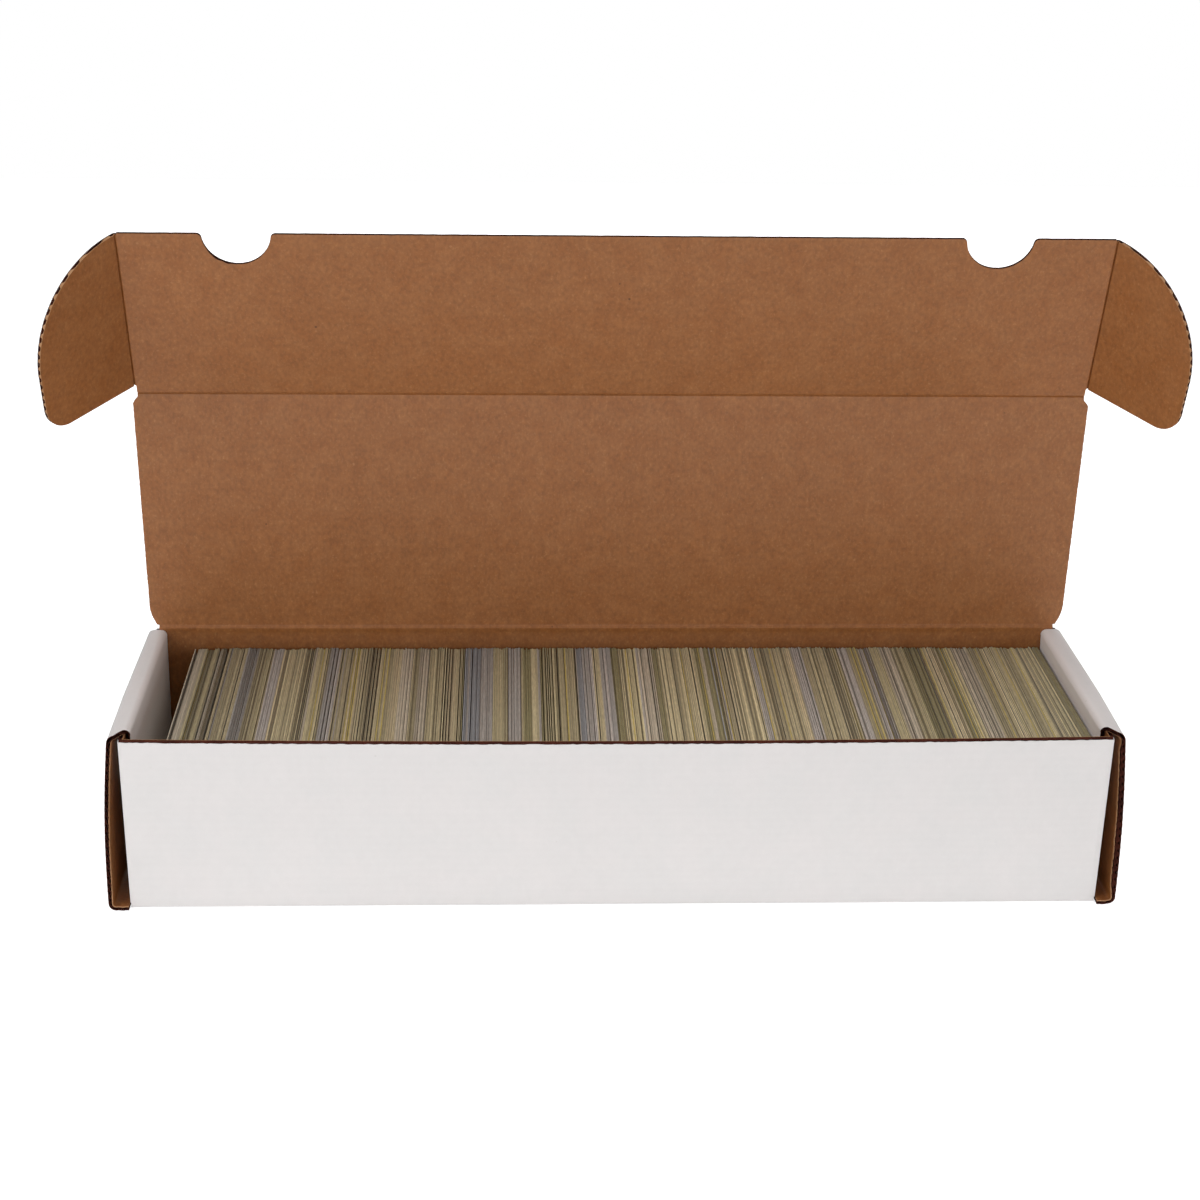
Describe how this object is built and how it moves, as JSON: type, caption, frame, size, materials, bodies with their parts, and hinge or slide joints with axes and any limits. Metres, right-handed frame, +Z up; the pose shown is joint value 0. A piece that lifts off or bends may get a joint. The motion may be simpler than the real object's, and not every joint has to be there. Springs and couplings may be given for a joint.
{
  "type": "trading card storage box",
  "caption": "Long white corrugated board box with double-walled ends, holding standing rows of cards, with a hinged lid whose tuck flap has side ears and thumb notches.",
  "frame": {"origin": "middle of the base's underside", "axes": "+X along the box to its right end as seen from the front, +Y towards the back wall that carries the lid, +Z up"},
  "size_m": [0.4332, 0.1013, 0.2464],
  "materials": {
    "board": "matte",
    "lid_board": "matte",
    "card_stock": "satin"
  },
  "bodies": {
    "box": {"bottom_panel": "board", "front_wall": "board", "back_wall": "board", "left_end_outer": "board", "left_end_top": "board", "left_end_inner": "board", "front_left_flap": "board", "back_left_flap": "board", "right_end_outer": "board", "right_end_top": "board", "right_end_inner": "board", "front_right_flap": "board", "back_right_flap": "board"},
    "lid": {"lid_panel": "lid_board"},
    "tuck": {"tuck_flap": "lid_board"},
    "left_ear_body": {"left_ear": "lid_board"},
    "right_ear_body": {"right_ear": "lid_board"},
    "cards_1": {"card_pack_1": "card_stock"},
    "cards_2": {"card_pack_2": "card_stock"},
    "cards_3": {"card_pack_3": "card_stock"},
    "cards_4": {"card_pack_4": "card_stock"},
    "cards_5": {"card_pack_5": "card_stock"},
    "cards_6": {"card_pack_6": "card_stock"},
    "cards_7": {"card_pack_7": "card_stock"},
    "cards_8": {"card_pack_8": "card_stock"}
  },
  "joints": [
    {"name": "lid_hinge", "type": "hinge", "parent": "box", "child": "lid", "pos_m": [0, 0.04852, 0.0746], "axis": [-1, 0, 0], "range_deg": [-87.6, 90]},
    {"name": "tuck_crease", "type": "hinge", "parent": "lid", "child": "tuck", "pos_m": [0, 0.04332, 0.17727], "axis": [-1, 0, 0], "range_deg": [-75.8, 14.2]},
    {"name": "left_ear_crease", "type": "hinge", "parent": "tuck", "child": "left_ear_body", "pos_m": [-0.18795, 0.03309, 0.21158], "axis": [0, 0.2857, -0.9583], "range_deg": [-40, 50]},
    {"name": "right_ear_crease", "type": "hinge", "parent": "tuck", "child": "right_ear_body", "pos_m": [0.18795, 0.03309, 0.21158], "axis": [0, -0.2857, 0.9583], "range_deg": [-40, 50]},
    {"name": "cards_1_lift", "type": "slide", "parent": "box", "child": "cards_1", "axis": [0, -0.0599, 0.9982], "range_m": [0, 0.08]},
    {"name": "cards_2_lift", "type": "slide", "parent": "box", "child": "cards_2", "axis": [0, -0.0599, 0.9982], "range_m": [0, 0.08]},
    {"name": "cards_3_lift", "type": "slide", "parent": "box", "child": "cards_3", "axis": [0, -0.0599, 0.9982], "range_m": [0, 0.08]},
    {"name": "cards_4_lift", "type": "slide", "parent": "box", "child": "cards_4", "axis": [0, -0.0599, 0.9982], "range_m": [0, 0.08]},
    {"name": "cards_5_lift", "type": "slide", "parent": "box", "child": "cards_5", "axis": [0, -0.0599, 0.9982], "range_m": [0, 0.08]},
    {"name": "cards_6_lift", "type": "slide", "parent": "box", "child": "cards_6", "axis": [0, -0.0599, 0.9982], "range_m": [0, 0.08]},
    {"name": "cards_7_lift", "type": "slide", "parent": "box", "child": "cards_7", "axis": [0, -0.0599, 0.9982], "range_m": [0, 0.08]},
    {"name": "cards_8_lift", "type": "slide", "parent": "box", "child": "cards_8", "axis": [0, -0.0599, 0.9982], "range_m": [0, 0.08]}
  ]
}
